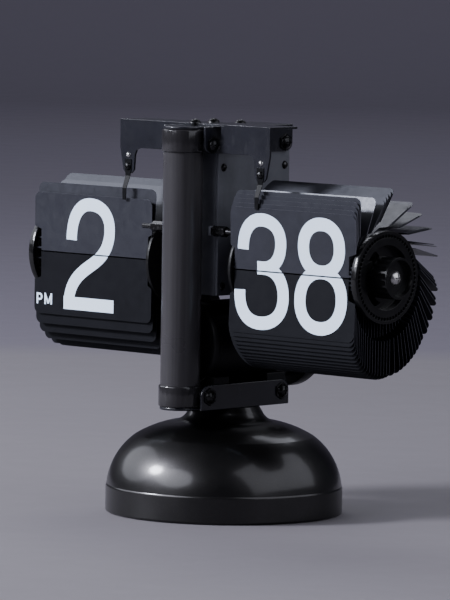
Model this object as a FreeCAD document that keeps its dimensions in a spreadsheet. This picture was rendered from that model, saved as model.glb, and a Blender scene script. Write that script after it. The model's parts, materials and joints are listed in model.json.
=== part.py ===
"""A balance-style flip number clock: two card drums cantilevered from a column on a domed base.

Frame: +X to the right of a person reading the clock, +Y to the back, +Z up. The origin is the centre
of the base's underside. Millimetres and degrees. Card angles are measured about the drums' axis from
straight up, positive towards the back, so the reading face is at -90.
"""
import FreeCAD, Part
import Sketcher
import math
import os

Vector, Rotation, Placement = FreeCAD.Vector, FreeCAD.Rotation, FreeCAD.Placement

DRIVING_SIZES = {
    # base
    "base_radius": 49.9, "base_wall": 1.2, "base_rim_bottom": 0.1, "base_crease": 11.3,
    "pad_radius": 48.0, "pad_thickness": 1.6, "weight_radius": 44.0, "weight_thickness": 8.0,
    "neck_top": 45.0, "neck_radius": 14.3, "neck_bore": 3.1,
    "neck_bolt_radius": 2.9, "neck_bolt_head": 5.2, "sleeve_radius": 4.6,
    # column and channels
    "column_y": -27.65, "column_radius": 8.3, "column_bore": 7.2, "cap_radius": 9.0,
    "spigot_length": 5.0, "lug_radius": 3.1, "tube_bottom": 55.3, "tube_top": 152.4,
    "channel_half": 12.0, "sheet": 1.2, "channel_front": -27.0, "channel_rear": 26.4,
    "low_flange_top": 55.5, "high_flange_bottom": 152.0, "high_web": 162.0,
    "screw_front_y": -22.1, "screw_rear_y": 21.75, "low_screw_z": 50.7, "high_screw_z": 155.6,
    "screw_shank": 1.5, "screw_head": 2.9, "washer_radius": 3.8, "washer_thickness": 0.7,
    # pawl bracket and leaves
    "bracket_y": -20.2, "bracket_sheet": 1.0, "bracket_half": 43.0, "bracket_inner": 15.2,
    "bracket_back": -4.6, "arm_bottom": 152.3, "finger_inner": 34.3, "finger_bottom": 141.4,
    "leaf_x": 38.0, "leaf_tip": 130.3, "leaf_screw_z": 144.4, "rivet_z": 149.2,
    # hexagonal posts: one in the column, one on the cover's ear
    "post_z": 120.5, "post_hex": 2.3, "post_shoulder": 16.5, "post_pin_reach": 22.4,
    "stop_y": -19.9, "stop_z": 119.8, "stop_shoulder": 18.2, "stop_reach": 22.2,
    # battery holder
    "barrel_x": -5.0, "barrel_z": 71.9, "barrel_radius": 17.2, "barrel_bore": 16.7,
    "barrel_front": -18.3, "barrel_rear": 38.0, "barrel_cap": 3.0, "cell_radius": 16.5,
    "collar_radius": 21.5, "collar_end": 45.0, "lid_radius": 18.0, "lid_end": 53.0,
    "saddle_front": -18.25, "saddle_step": -9.0, "saddle_rear": 14.0, "saddle_end": 25.6,
    # movement case
    "case_half": 10.8, "case_wall": 1.4, "case_front": -17.5, "case_rear": 26.0, "case_bottom": 92.5,
    "case_roof": 149.0, "bush_radius": 3.2, "arbor_radius": 0.8, "running_gap": 0.05,
    # drums
    "drum_y": -5.0, "drum_z": 104.9, "flange_radius": 19.1, "hinge_radius": 17.0, "shaft_radius": 2.0,
    "hub_radius": 6.5, "inner_flange_x": 22.8, "inner_flange": 1.6, "outer_flange_x": 91.4,
    "outer_flange": 2.7, "annulus_inner": 13.3, "web_x": 89.4, "web": 1.2, "groove_half": 0.8,
    "groove_depth": 1.0, "knob_radius": 8.6, "knob_face": 101.1, "knob_screw": 3.2,
    # cards
    "card_inner_x": 22.9, "card_outer_x": 92.4, "card_thickness": 0.22, "card_reach": 26.0,
    "minute_crease": 104.9, "hour_crease": 105.7, "crease_gap": 0.28,
    "notch_inner_x": 25.1, "notch_outer_x": 88.5, "notch_height": 9.2, "card_corner": 3.0,
    "pin_inner_x": 23.7, "pin_outer_x": 92.1, "pin_half": 0.35,
    # gear train
    "fine_module": 0.30, "hour_module": 0.42, "mesh_slack": 0.05,
}

doc = FreeCAD.newDocument("FlipClock")
sheet = doc.addObject("Spreadsheet::Sheet", "Clock")
for row, (alias, value) in enumerate(DRIVING_SIZES.items(), start=1):
    sheet.set(f"A{row}", alias)
    sheet.set(f"B{row}", str(value))
    sheet.setAlias(f"B{row}", alias)
doc.recompute()

NODES = []
ALONG = {"x": Rotation(Vector(0, 1, 0), 90), "y": Rotation(Vector(1, 0, 0), -90), "z": Rotation()}


def size(alias):
    """The sheet's value for one driving dimension."""
    return float(sheet.get(alias))


def formula(value):
    """An expression: sheet aliases in the text get the sheet's name in front of them."""
    words, word = [], ""
    for letter in str(value) + " ":
        if letter.isalnum() or letter == "_":
            word += letter
            continue
        words.append("Clock." + word if word in DRIVING_SIZES else word)
        words.append(letter)
        word = ""
    return "".join(words).strip()


def node(thing, label):
    """Makes this object the sub-part of that name."""
    thing.Label = label
    NODES.append(thing)
    return thing


def box(name, x0, x1, y0, y1, z0, z1):
    """A block between two corners, each an expression on the sheet."""
    block = doc.addObject("Part::Box", name)
    spans = (("Length", "x", x0, x1), ("Width", "y", y0, y1), ("Height", "z", z0, z1))
    for length, axis, low, high in spans:
        block.setExpression(length, formula(f"({high}) - ({low})"))
        block.setExpression(f"Placement.Base.{axis}", formula(low))
    return block


def rod(name, axis, radius, start, end, x="0", y="0", z="0"):
    """A cylinder along an axis from start to end, its centre line at the two other coordinates."""
    bar = doc.addObject("Part::Cylinder", name)
    bar.Placement = Placement(Vector(), ALONG[axis])
    bar.setExpression("Radius", formula(radius))
    bar.setExpression("Height", formula(f"({end}) - ({start})"))
    centre = {"x": x, "y": y, "z": z, axis: start}
    for name_of_axis, value in centre.items():
        bar.setExpression(f"Placement.Base.{name_of_axis}", formula(value))
    return bar


def fused(name, *pieces):
    """One solid out of several pieces."""
    union = doc.addObject("Part::MultiFuse", name)
    union.Shapes = list(pieces)
    union.Refine = True
    return union


def less(name, body, *tools):
    """The body with the tools cut out of it."""
    cut = doc.addObject("Part::Cut", name)
    cut.Base = body
    cut.Tool = tools[0] if len(tools) == 1 else fused(name + "_tools", *tools)
    return cut


def rounded(name, body, radius, wanted):
    """The body with a fillet on each edge that the test accepts."""
    doc.recompute()
    fillet = doc.addObject("Part::Fillet", name)
    fillet.Base = body
    chosen = [i for i, edge in enumerate(body.Shape.Edges, start=1) if wanted(edge)]
    fillet.Edges = [(i, radius, radius) for i in chosen]
    return fillet


def bevelled(name, body, width, wanted):
    """The body with a chamfer on each edge that the test accepts."""
    doc.recompute()
    chamfer = doc.addObject("Part::Chamfer", name)
    chamfer.Base = body
    chosen = [i for i, edge in enumerate(body.Shape.Edges, start=1) if wanted(edge)]
    chamfer.Edges = [(i, width, width) for i in chosen]
    return chamfer


def feature(label, shape):
    """A sub-part whose shape comes from Part's own functions."""
    thing = doc.addObject("Part::Feature", label)
    thing.Shape = shape
    return node(thing, label)


def lies_along(edge, axis):
    """True for a straight edge along that axis."""
    if edge.Curve.TypeId != "Part::GeomLine":
        return False
    return abs(getattr(edge.Curve.Direction, axis)) > 0.999


def is_full_circle(edge, height):
    """True for a whole circle lying flat at that height."""
    flat = edge.Curve.TypeId == "Part::GeomCircle" and abs(edge.Curve.Axis.z) > 0.999
    return flat and edge.isClosed() and abs(edge.Curve.Center.z - height) < 1e-6


def sketch_on(body, plane_role, name):
    """A sketch on one of the body's own origin planes."""
    sketch = body.newObject("Sketcher::SketchObject", name)
    planes = {plane.Role: plane for plane in body.Origin.OriginFeatures}
    sketch.AttachmentSupport = (planes[plane_role], [""])
    sketch.MapMode = "FlatFace"
    return sketch


def outline(sketch, points):
    """A closed outline of straight lines, each corner held by two distances bound to the sheet."""
    def here(point):
        return Vector(*[evaluate(value) for value in point], 0)

    for start, end in zip(points, points[1:] + points[:1]):
        sketch.addGeometry(Part.LineSegment(here(start), here(end)))
    for i, point in enumerate(points):
        sketch.addConstraint(Sketcher.Constraint("Coincident", (i - 1) % len(points), 2, i, 1))
        for kind, value in (("DistanceX", point[0]), ("DistanceY", point[1])):
            held = sketch.addConstraint(Sketcher.Constraint(kind, -1, 1, i, 1, evaluate(value)))
            sketch.setExpression(f"Constraints[{held}]", formula(value))


def evaluate(value):
    """The number that an expression on the sheet gives."""
    return float(sheet.evalExpression(formula(value)))


def padded(label, plane_role, points, length, shift=None, symmetric=False):
    """A PartDesign body: an outline on an origin plane, padded to a length bound to the sheet."""
    body = doc.addObject("PartDesign::Body", label)
    sketch = sketch_on(body, plane_role, label + "_outline")
    outline(sketch, points)
    pad = body.newObject("PartDesign::Pad", label + "_pad")
    pad.Profile = sketch
    pad.setExpression("Length", formula(length))
    if symmetric:
        pad.SideType = "Symmetric"
    for axis, value in (shift or {}).items():
        body.setExpression(f"Placement.Base.{axis}", formula(value))
    body.Tip = pad
    return body


def polygon_prism(points, thickness):
    """A straight-sided plate from a list of corners, thickened along a vector."""
    wire = Part.makePolygon(points + points[:1])
    return Part.Face(wire).extrude(thickness)


def cross_recess(centre, direction, reach, depth):
    """A Phillips recess: two crossed slots sunk against the direction a screw head faces."""
    width = reach * 0.34
    slots = []
    for length, breadth in ((2 * reach, width), (width, 2 * reach)):
        slot = Part.makeBox(length, breadth, 2 * depth, Vector(-length / 2, -breadth / 2, -depth))
        slots.append(slot)
    cross = slots[0].fuse(slots[1]).removeSplitter()
    cross.Placement = Placement(centre, Rotation(Vector(0, 0, 1), direction))
    return cross


def pan_screw(base, direction, head_radius, head_height, shank_radius, shank_length):
    """A domed screw whose head sits at base, facing the direction, with its shank behind."""
    sphere_radius = (head_radius ** 2 + head_height ** 2) / (2 * head_height)
    ball = Part.makeSphere(sphere_radius, Vector(0, 0, head_height - sphere_radius))
    skirt = Part.makeCylinder(head_radius, head_height)
    head = ball.common(skirt)
    shank = Part.makeCylinder(shank_radius, shank_length, Vector(0, 0, -shank_length))
    screw = head.fuse(shank).removeSplitter()
    screw = screw.cut(cross_recess(Vector(0, 0, head_height), Vector(0, 0, 1),
                                   head_radius * 0.55, head_height * 0.55))
    screw.Placement = Placement(base, Rotation(Vector(0, 0, 1), direction))
    return screw


# ---------------------------------------------------------------- base

def make_base():
    """The domed shell and what fills it: foot pad, weight, sleeve, bolt and nut."""
    rim, wall = size("base_radius"), size("base_wall")
    bottom, crease = size("base_rim_bottom"), size("base_crease")
    neck_z, neck_r, bore = size("neck_top"), size("neck_radius"), size("neck_bore")

    def at(radius, height):
        return Vector(radius, 0, height)

    shoulder, crown = at(rim - 0.3, crease + 0.4), at(rim - 12.4, 32.4)
    waist, neck = at(20.5, 38.6), at(15.6, 42.9)
    inner_shoulder, inner_crown = at(rim - wall - 0.3, crease), at(rim - 13.3, 31.4)
    inner_waist, inner_neck = at(19.9, 37.4), at(neck_r - 1.3, neck_z - wall)
    profile = [
        Part.Arc(at(rim - 0.9, bottom), at(rim - 0.25, bottom + 0.3), at(rim, bottom + 1)),
        Part.LineSegment(at(rim, bottom + 1), at(rim, crease - 0.5)),
        Part.Arc(at(rim, crease - 0.5), at(rim - 0.1, crease), shoulder),
        Part.Arc(shoulder, at(rim - 3.2, 21.7), crown),
        Part.Arc(crown, at(28.5, 36.6), waist),
        Part.Arc(waist, at(17.3, 40.4), neck),
        Part.LineSegment(neck, at(neck_r, neck_z)),
        Part.LineSegment(at(neck_r, neck_z), at(bore, neck_z)),
        Part.LineSegment(at(bore, neck_z), at(bore, neck_z - wall)),
        Part.LineSegment(at(bore, neck_z - wall), inner_neck),
        Part.LineSegment(inner_neck, inner_waist),
        Part.Arc(inner_waist, at(28.0, 35.4), inner_crown),
        Part.Arc(inner_crown, at(rim - wall - 3.2, 21.2), inner_shoulder),
        Part.LineSegment(inner_shoulder, at(rim - wall, bottom)),
        Part.LineSegment(at(rim - wall, bottom), at(rim - 0.9, bottom)),
    ]
    wire = Part.Wire([curve.toShape() for curve in profile])
    feature("base_shell", Part.Face(wire).revolve(Vector(), Vector(0, 0, 1), 360))

    pad = rod("pad_disc", "z", "pad_radius", "0", "pad_thickness")
    node(bevelled("base_pad", pad, 0.4, lambda edge: is_full_circle(edge, 0)), "base_pad")
    top = "pad_thickness + weight_thickness"
    disc = rod("weight_disc", "z", "weight_radius", "pad_thickness", top)
    hole = rod("weight_hole", "z", "neck_bore", "pad_thickness", top)
    pocket = rod("weight_pocket", "z", "neck_bolt_head + 1.4", "pad_thickness", "pad_thickness + 3.6")
    node(less("base_weight", disc, hole, pocket), "base_weight")
    outside = rod("sleeve_outside", "z", "sleeve_radius", top, "neck_top - base_wall")
    inside = rod("sleeve_inside", "z", "neck_bore", top, "neck_top - base_wall")
    node(less("base_sleeve", outside, inside), "base_sleeve")


def hexagon(radius, height, base):
    """A hexagonal prism of that corner radius, standing on base."""
    corners = [base + Vector(radius * math.cos(math.radians(60 * i)),
                             radius * math.sin(math.radians(60 * i)), 0) for i in range(6)]
    return polygon_prism(corners, Vector(0, 0, height))


def make_neck_fasteners():
    """The bolt that holds the bottom channel on the neck, and its nut under the weight."""
    seat = size("neck_top") + size("sheet")
    radius, head = size("neck_bolt_radius"), size("neck_bolt_head")
    foot = size("pad_thickness") + 0.6
    shank = Part.makeCylinder(radius, seat - foot, Vector(0, 0, foot))
    head_block = hexagon(head, 3.4, Vector(0, 0, seat))
    head_block = head_block.common(Part.makeCone(head + 1.6, head - 0.5, 3.4, Vector(0, 0, seat)))
    feature("neck_bolt", head_block.fuse(shank).removeSplitter())
    nut = hexagon(head, 2.9, Vector(0, 0, foot + 0.1))
    feature("base_nut", nut.cut(Part.makeCylinder(radius, 20, Vector(0, 0, 0))))


# ---------------------------------------------------------------- frame

# along the top channel: the column's own screw first, then the case's two
TOP_SCREW_Y = (-20.7, -9.4, 6.8)


def make_channel(label, web_low, web_high, flange_end, corner, bolt_hole):
    """A U channel along Y: a web, two side flanges with rounded free corners, and screw holes."""
    name = label + "_"
    web = box(name + "web", "-channel_half", "channel_half", "channel_front + 4", "channel_rear",
              web_low, web_high)
    tongue = rod(name + "tongue", "z", "cap_radius - 0.6", web_low, web_high, y="column_y")
    neck = box(name + "neck", "0.6 - cap_radius", "cap_radius - 0.6", "column_y", "channel_front + 4",
               web_low, web_high)
    low, high = sorted((web_low, web_high, flange_end), key=evaluate)[::2]
    sides = []
    for side, inner, outer in (("left", "-channel_half", "sheet - channel_half"),
                               ("right", "channel_half - sheet", "channel_half")):
        sides.append(box(name + side, inner, outer, "channel_front", "channel_rear", low, high))
    free_edge = evaluate(flange_end)
    blank = fused(name + "blank", web, tongue, neck, *sides)

    def free_corner(edge):
        return lies_along(edge, "x") and abs(edge.CenterOfMass.z - free_edge) < 1e-6

    shaped = rounded(name + "shaped", blank, corner, free_corner)
    screw_z = "low_screw_z" if bolt_hole else "high_screw_z"
    tools = [rod(name + "front_hole", "x", "screw_shank", "-channel_half - 1", "channel_half + 1",
                 y="screw_front_y", z=screw_z),
             rod(name + "rear_hole", "x", "screw_shank", "-channel_half - 1", "channel_half + 1",
                 y="screw_rear_y", z=screw_z)]
    if bolt_hole:
        tools.append(rod(name + "bolt_hole", "z", "neck_bolt_radius", web_low + " - 1", web_high + " + 1"))
    else:
        for i, y in enumerate(TOP_SCREW_Y):
            tools.append(rod(name + f"top_hole{i}", "z", "screw_shank", web_low + " - 1",
                             web_high + " + 1", y=str(y)))
    node(less(label, shaped, *tools), label)


def make_column():
    """The column tube and the two caps that carry it between the channels."""
    outside = rod("tube_outside", "z", "column_radius", "tube_bottom", "tube_top", y="column_y")
    inside = rod("tube_inside", "z", "column_bore", "tube_bottom", "tube_top", y="column_y")
    post = rod("tube_post_hole", "x", "post_hex", "-column_radius - 1", "0", y="column_y", z="post_z")
    node(less("column_tube", outside, inside, post), "column_tube")
    ends = (("column_foot", "neck_top + sheet", "tube_bottom", "low_screw_z", 1),
            ("column_head", "tube_top", "high_web", "high_screw_z", -1))
    for label, low, high, screw_z, way in ends:
        drum = rod(label + "_drum", "z", "cap_radius", low, high, y="column_y")
        heights = (evaluate(low), evaluate(high))
        shaped = bevelled(label + "_shaped", drum, 0.5,
                          lambda edge: any(is_full_circle(edge, z) for z in heights))
        lug = rod(label + "_lug", "x", "lug_radius", "sheet - channel_half", "channel_half - sheet",
                  y="screw_front_y", z=screw_z)
        if way > 0:
            spigot = rod(label + "_spigot", "z", "column_bore", high, high + " + spigot_length",
                         y="column_y")
        else:
            spigot = rod(label + "_spigot", "z", "column_bore", low + " - spigot_length", low,
                         y="column_y")
        hole = rod(label + "_hole", "x", "screw_shank", "-channel_half", "channel_half",
                   y="screw_front_y", z=screw_z)
        body = fused(label + "_body", shaped, lug, spigot)
        if way < 0:
            top = rod(label + "_top_hole", "z", "screw_shank", high + " - 5", high,
                      y=str(TOP_SCREW_Y[0]))
            node(less(label, body, hole, top), label)
        else:
            node(less(label, body, hole), label)


def make_channel_screws():
    """Four screws and washers in each channel, and the three dome screws on top."""
    shank, head = size("screw_shank"), size("screw_head")
    washer, half = size("washer_thickness"), size("channel_half")
    washers, screws = [], []
    for z in (size("low_screw_z"), size("high_screw_z")):
        for y in (size("screw_front_y"), size("screw_rear_y")):
            for side in (-1, 1):
                seat, out = Vector(side * (half + washer), y, z), Vector(side, 0, 0)
                screws.append(pan_screw(seat, out, head, 1.9, shank, washer + 5.5))
                washer_block = hexagon(size("washer_radius"), washer, Vector())
                washer_block = washer_block.cut(Part.makeCylinder(shank, washer))
                washer_block.Placement = Placement(Vector(side * half, y, z),
                                                   Rotation(Vector(0, 0, 1), out))
                washers.append(washer_block)
    feature("channel_screws", Part.makeCompound(screws))
    feature("channel_washers", Part.makeCompound(washers))
    web_top = size("high_web") + size("sheet")
    screws = []
    for i, y in enumerate(TOP_SCREW_Y):
        seat = web_top + (size("bracket_sheet") if y < size("bracket_back") else 0)
        screws.append(pan_screw(Vector(0, y, seat), Vector(0, 0, 1), 2.6, 1.8, shank, 4.2))
    feature("top_screws", Part.makeCompound(screws))


def make_bracket():
    """The bent sheet bracket on top of the channel, with one arm and finger over each drum."""
    plate = box("bracket_plate", "-bracket_half", "bracket_half", "bracket_y - bracket_sheet",
                "bracket_back", "high_web + sheet", "high_web + sheet + bracket_sheet")
    pieces = [plate]
    top = "high_web + sheet + bracket_sheet"
    for side, sign in (("hour", "-"), ("minute", "")):
        face = [(f"{sign}bracket_inner", top), (f"{sign}bracket_inner", "arm_bottom + 2"),
                (f"{sign}(bracket_inner + 0.6)", "arm_bottom + 0.6"),
                (f"{sign}(bracket_inner + 2)", "arm_bottom"),
                (f"{sign}(finger_inner - 3)", "arm_bottom"),
                (f"{sign}(finger_inner - 0.9)", "arm_bottom - 0.9"),
                (f"{sign}finger_inner", "arm_bottom - 3"), (f"{sign}(leaf_x - 3.2)", "finger_bottom + 1.5"),
                (f"{sign}(leaf_x - 1.6)", "finger_bottom"), (f"{sign}(leaf_x + 1.6)", "finger_bottom"),
                (f"{sign}(leaf_x + 3.0)", "finger_bottom + 1.5"), (f"{sign}bracket_half", "arm_bottom"),
                (f"{sign}bracket_half", top)]
        pieces.append(padded(f"bracket_{side}_face", "XZ_Plane", face, "bracket_sheet",
                             shift={"y": "bracket_y"}))
    blank = fused("bracket_blank", *pieces)
    holes = []
    for i, y in enumerate(TOP_SCREW_Y[:2]):
        holes.append(rod(f"bracket_hole{i}", "z", "screw_shank", "high_web", "high_web + 4", y=str(y)))
    for side, sign in (("hour", "-"), ("minute", "")):
        for what, z in (("screw", "leaf_screw_z"), ("rivet", "rivet_z")):
            holes.append(rod(f"bracket_{side}_{what}_hole", "y", "0.8", "bracket_y - 3", "bracket_y + 3",
                             x=f"{sign}leaf_x", z=z))
    node(less("pawl_bracket", blank, *holes), "pawl_bracket")


def make_leaves():
    """The thin sprung leaf that holds each drum's top card back, with its screw and rivet."""
    face = size("bracket_y") - size("bracket_sheet")
    gauge, tip, seat = 0.3, size("leaf_tip"), size("leaf_screw_z")
    front = size("drum_y") - size("hinge_radius") - 1.25
    side_view = [Vector(0, face, seat + 3), Vector(0, face, seat - 4), Vector(0, front, tip + 5),
                 Vector(0, front, tip), Vector(0, front - gauge, tip), Vector(0, front - gauge, tip + 5),
                 Vector(0, face - gauge, seat - 4), Vector(0, face - gauge, seat + 3)]
    screws, rivets = [], []
    for label, side in (("hour_leaf", -1), ("minute_leaf", 1)):
        x = side * size("leaf_x")
        strip = polygon_prism([p + Vector(x - 3, 0, 0) for p in side_view], Vector(6, 0, 0))
        outline_points = [Vector(x + dx, face - 10, z) for dx, z in (
            (-0.9, tip), (0.9, tip), (1.4, seat - 3), (1.9, seat - 1), (1.9, seat + 3),
            (-1.9, seat + 3), (-1.9, seat - 1), (-1.4, seat - 3))]
        front_view = polygon_prism(outline_points, Vector(0, 20, 0))
        hole = Part.makeCylinder(0.8, 20, Vector(x, face - 10, seat), Vector(0, 1, 0))
        feature(label, strip.common(front_view).cut(hole))
        out = Vector(0, -1, 0)
        screws.append(pan_screw(Vector(x, face - gauge, seat), out, 1.75, 1.2, 0.8, 1.6))
        button = pan_screw(Vector(x, face, size("rivet_z")), out, 1.2, 0.8, 0.8, 1.3)
        rivets.append(button)
    feature("leaf_screws", Part.makeCompound(screws))
    feature("leaf_rivets", Part.makeCompound(rivets))


def make_side_posts():
    """Two hexagonal posts with thin ends: one in the column's side, towards the hour drum, and one
    on the movement cover's ear, towards the minute drum."""
    def hexagon_bar(start, end, y, z):
        bar = hexagon(size("post_hex"), end - start, Vector())
        bar.Placement = Placement(Vector(start, y, z), ALONG["x"])
        return bar

    y, z, tube = size("column_y"), size("post_z"), size("column_radius")
    shoulder, pin_reach = size("post_shoulder"), size("post_pin_reach")
    middle = Part.makeCylinder(0.8 * size("post_hex"), tube - 1, Vector(-tube - 1, y, z), Vector(1, 0, 0))
    pin = Part.makeCylinder(1.1, pin_reach - shoulder + 1, Vector(-pin_reach, y, z), Vector(1, 0, 0))
    column_post = middle.multiFuse([hexagon_bar(-shoulder, -tube, y, z), pin]).removeSplitter()

    y, z = size("stop_y"), size("stop_z")
    seat, shoulder, reach = size("case_half"), size("stop_shoulder"), size("stop_reach")
    pin = Part.makeCylinder(1.3, reach - shoulder + 1, Vector(shoulder - 1, y, z), Vector(1, 0, 0))
    cover_post = hexagon_bar(seat, shoulder, y, z).fuse(pin).removeSplitter()
    feature("side_posts", Part.makeCompound([column_post, cover_post]))


# ---------------------------------------------------------------- battery holder

def make_battery_holder():
    """The saddle on the bottom channel, the barrel, its caps, the D cell and its contacts."""
    def along_y(name, radius, start, end):
        return rod(name, "y", radius, start, end, x="barrel_x", z="barrel_z")

    blocks = []
    for name, start, end in (("front", "saddle_front", "saddle_step"),
                             ("rear", "saddle_rear", "saddle_end")):
        blocks.append(box(f"saddle_{name}", "sheet - channel_half", "channel_half - sheet", start, end,
                          "neck_top + sheet", "barrel_z - 13.4"))
    blocks.append(box("saddle_floor", "-7", "channel_half - sheet", "saddle_step", "saddle_rear",
                      "neck_top + sheet", "neck_top + sheet + 2"))
    seat = along_y("saddle_seat", "barrel_radius", "-20", "60")
    pocket = rod("saddle_pocket", "z", "neck_bolt_head + 0.4", "neck_top", "neck_top + sheet + 6")
    hole = rod("saddle_hole", "x", "screw_shank", "-channel_half", "channel_half", y="screw_rear_y",
               z="low_screw_z")
    node(less("battery_saddle", fused("saddle_blank", *blocks), seat, pocket, hole), "battery_saddle")

    front = "barrel_front + barrel_cap"
    outside = along_y("barrel_outside", "barrel_radius", front, "barrel_rear")
    inside = along_y("barrel_inside", "barrel_bore", front, "barrel_rear")
    node(less("battery_barrel", outside, inside), "battery_barrel")
    disc = along_y("front_cap_disc", "barrel_radius", "barrel_front", front)
    front_y = size("barrel_front")
    node(rounded("battery_front_cap", disc, 2.2, lambda edge: abs(edge.CenterOfMass.y - front_y) < 1e-6),
         "battery_front_cap")
    node(along_y("contact_disc", "6", front, front + " + 0.4"), "battery_contact")

    collar = along_y("collar", "collar_radius", "barrel_rear + 0.05", "collar_end")
    lid = along_y("lid", "lid_radius", "collar_end", "lid_end")
    hollow = along_y("lid_hollow", "barrel_bore", "barrel_rear", "lid_end - 1.4")
    node(less("battery_rear_cap", fused("rear_cap_blank", collar, lid), hollow), "battery_rear_cap")

    start = size("barrel_front") + size("barrel_cap") + 0.7
    length, can_start = 61.0, start + 1.6
    seat, contact = size("lid_end") - 1.4, start + length + 0.4
    gauge, half_width = 0.4, 4.0
    side_view = ((-8, seat), (-8, seat - gauge), (-3, seat - gauge), (-2, contact), (2, contact),
                 (3, seat - gauge), (8, seat - gauge), (8, seat), (2.7, seat), (1.7, contact + gauge),
                 (-1.7, contact + gauge), (-2.7, seat))
    corners = [Vector(size("barrel_x") + x, y, size("barrel_z") - half_width) for x, y in side_view]
    feature("battery_spring", polygon_prism(corners, Vector(0, 0, 2 * half_width)))

    centre = Vector(size("barrel_x"), 0, size("barrel_z"))
    can = Part.makeCylinder(size("cell_radius"), start + length - can_start,
                            centre + Vector(0, can_start, 0), Vector(0, 1, 0))
    nub = Part.makeCylinder(4.6, 1.6, centre + Vector(0, start, 0), Vector(0, 1, 0))
    feature("battery_cell", can.fuse(nub).removeSplitter())


# ---------------------------------------------------------------- movement

ARBORS = {
    # name: (angle about the followed gear's centre, from +Y towards +Z)
    "transfer": -10.0,
    "intermediate": 70.0,
    "motor": 80.0,
}
MINUTE_TEETH, REDUCER_TEETH, HOUR_TEETH, TRANSFER_TEETH, PINION_TEETH = 62, 60, 60, 40, 10


def pitch_radius(teeth, module):
    return teeth * module / 2


def centre_from(centre, angle, distance):
    """The (y, z) of a centre at that distance and angle from another."""
    turn = math.radians(angle)
    return centre[0] + distance * math.cos(turn), centre[1] + distance * math.sin(turn)


def train_centres():
    """The (y, z) centre of each arbor of the gear train."""
    fine, hour, slack = size("fine_module"), size("hour_module"), size("mesh_slack")
    drum = (size("drum_y"), size("drum_z"))
    hour_distance = pitch_radius(TRANSFER_TEETH + PINION_TEETH, hour) + slack
    transfer = centre_from(drum, ARBORS["transfer"], hour_distance)
    minute_distance = pitch_radius(MINUTE_TEETH + PINION_TEETH, fine) + slack
    intermediate = centre_from(drum, ARBORS["intermediate"], minute_distance)
    motor_distance = pitch_radius(REDUCER_TEETH + PINION_TEETH, fine) + slack
    motor = centre_from(intermediate, ARBORS["motor"], motor_distance)
    return {"drum": drum, "transfer": transfer, "intermediate": intermediate, "motor": motor}


def gear(teeth, module, x0, x1, centre, first_tooth, bore=0.0):
    """An involute spur gear along X with a tooth centred on the first_tooth angle."""
    pressure, backlash = math.radians(20), 0.2
    pitch = pitch_radius(teeth, module)
    base, root, tip = pitch * math.cos(pressure), pitch - 1.25 * module, pitch + 0.8 * module

    def involute(radius):
        turn = math.acos(min(1.0, base / radius))
        return math.tan(turn) - turn

    half_tooth = (math.pi / 2 - backlash) / teeth + involute(pitch)
    flank = []
    for i in range(5):
        radius = max(root, base) + (tip - max(root, base)) * i / 4
        flank.append((radius, half_tooth - involute(radius)))
    side = [(root, half_tooth)] * (root < base) + flank
    corners = []
    for tooth in range(teeth):
        middle = math.radians(first_tooth) + 2 * math.pi * tooth / teeth
        angles = [(r, middle - a) for r, a in side] + [(r, middle + a) for r, a in reversed(side)]
        for radius, angle in angles:
            corners.append(Vector(x0, centre[0] + radius * math.cos(angle),
                                  centre[1] + radius * math.sin(angle)))
    blank = polygon_prism(corners, Vector(x1 - x0, 0, 0))
    if bore:
        hole = Part.makeCylinder(bore, x1 - x0, Vector(x0, *centre), Vector(1, 0, 0))
        blank = blank.cut(hole)
    return blank


def meshing_tooth(angle, teeth, other_teeth, other_first=0.0):
    """Where the first tooth of a gear lies so that it meshes with one at that angle from it."""
    return angle + 180 + 180 / teeth - (other_first - angle) * other_teeth / teeth


def shaft(radius, x0, x1, centre):
    return Part.makeCylinder(radius, x1 - x0, Vector(x0, *centre), Vector(1, 0, 0))


def make_movement():
    """The motor, its pinion, the compound wheels and the gears on the two drum shafts."""
    centres, fine, hour = train_centres(), size("fine_module"), size("hour_module")
    drum, arbor, radius = centres["drum"], size("arbor_radius"), size("shaft_radius")
    reach = size("case_half") - 0.5
    feature("minute_gear", gear(MINUTE_TEETH, fine, 6.6, 8.2, drum, 0, bore=radius))
    feature("hour_pinion", gear(PINION_TEETH, hour, 1.0, 3.0, drum, 0, bore=1.2))

    mesh = meshing_tooth(ARBORS["intermediate"], PINION_TEETH, MINUTE_TEETH)
    wheel = gear(REDUCER_TEETH, fine, 4.0, 5.4, centres["intermediate"], 0)
    pinion = gear(PINION_TEETH, fine, 6.3, 8.6, centres["intermediate"], mesh)
    spindle = shaft(arbor, -reach, reach, centres["intermediate"])
    feature("reduction_wheel", wheel.multiFuse([pinion, spindle]).removeSplitter())

    mesh = meshing_tooth(ARBORS["transfer"], TRANSFER_TEETH, PINION_TEETH)
    wheel = gear(TRANSFER_TEETH, hour, 1.2, 2.8, centres["transfer"], mesh)
    pinion = gear(PINION_TEETH, fine, -5.2, -2.8, centres["transfer"], 0)
    spindle = shaft(arbor, -reach, reach, centres["transfer"])
    feature("transfer_wheel", wheel.multiFuse([pinion, spindle]).removeSplitter())
    mesh = meshing_tooth(ARBORS["transfer"] + 180, HOUR_TEETH, PINION_TEETH)
    feature("hour_gear", gear(HOUR_TEETH, fine, -4.8, -3.2, drum, mesh, bore=radius))

    motor = centres["motor"]
    mesh = meshing_tooth(ARBORS["motor"], PINION_TEETH, REDUCER_TEETH)
    pinion = gear(PINION_TEETH, fine, 3.4, 5.9, motor, mesh)
    feature("motor_pinion", pinion.fuse(shaft(0.5, -2.0, 6.4, motor)).removeSplitter())
    can = shaft(8.0, size("case_wall") - size("case_half"), 2.2, motor)
    feature("motor", can.cut(shaft(0.5 + size("running_gap"), -2.2, 2.2, motor)))


# (y, z) of the four screws that hold the cover on the case
CASE_SCREWS = ((-14.4, 96.4), (23.0, 96.4), (-14.4, 146.0), (23.0, 146.0))


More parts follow.
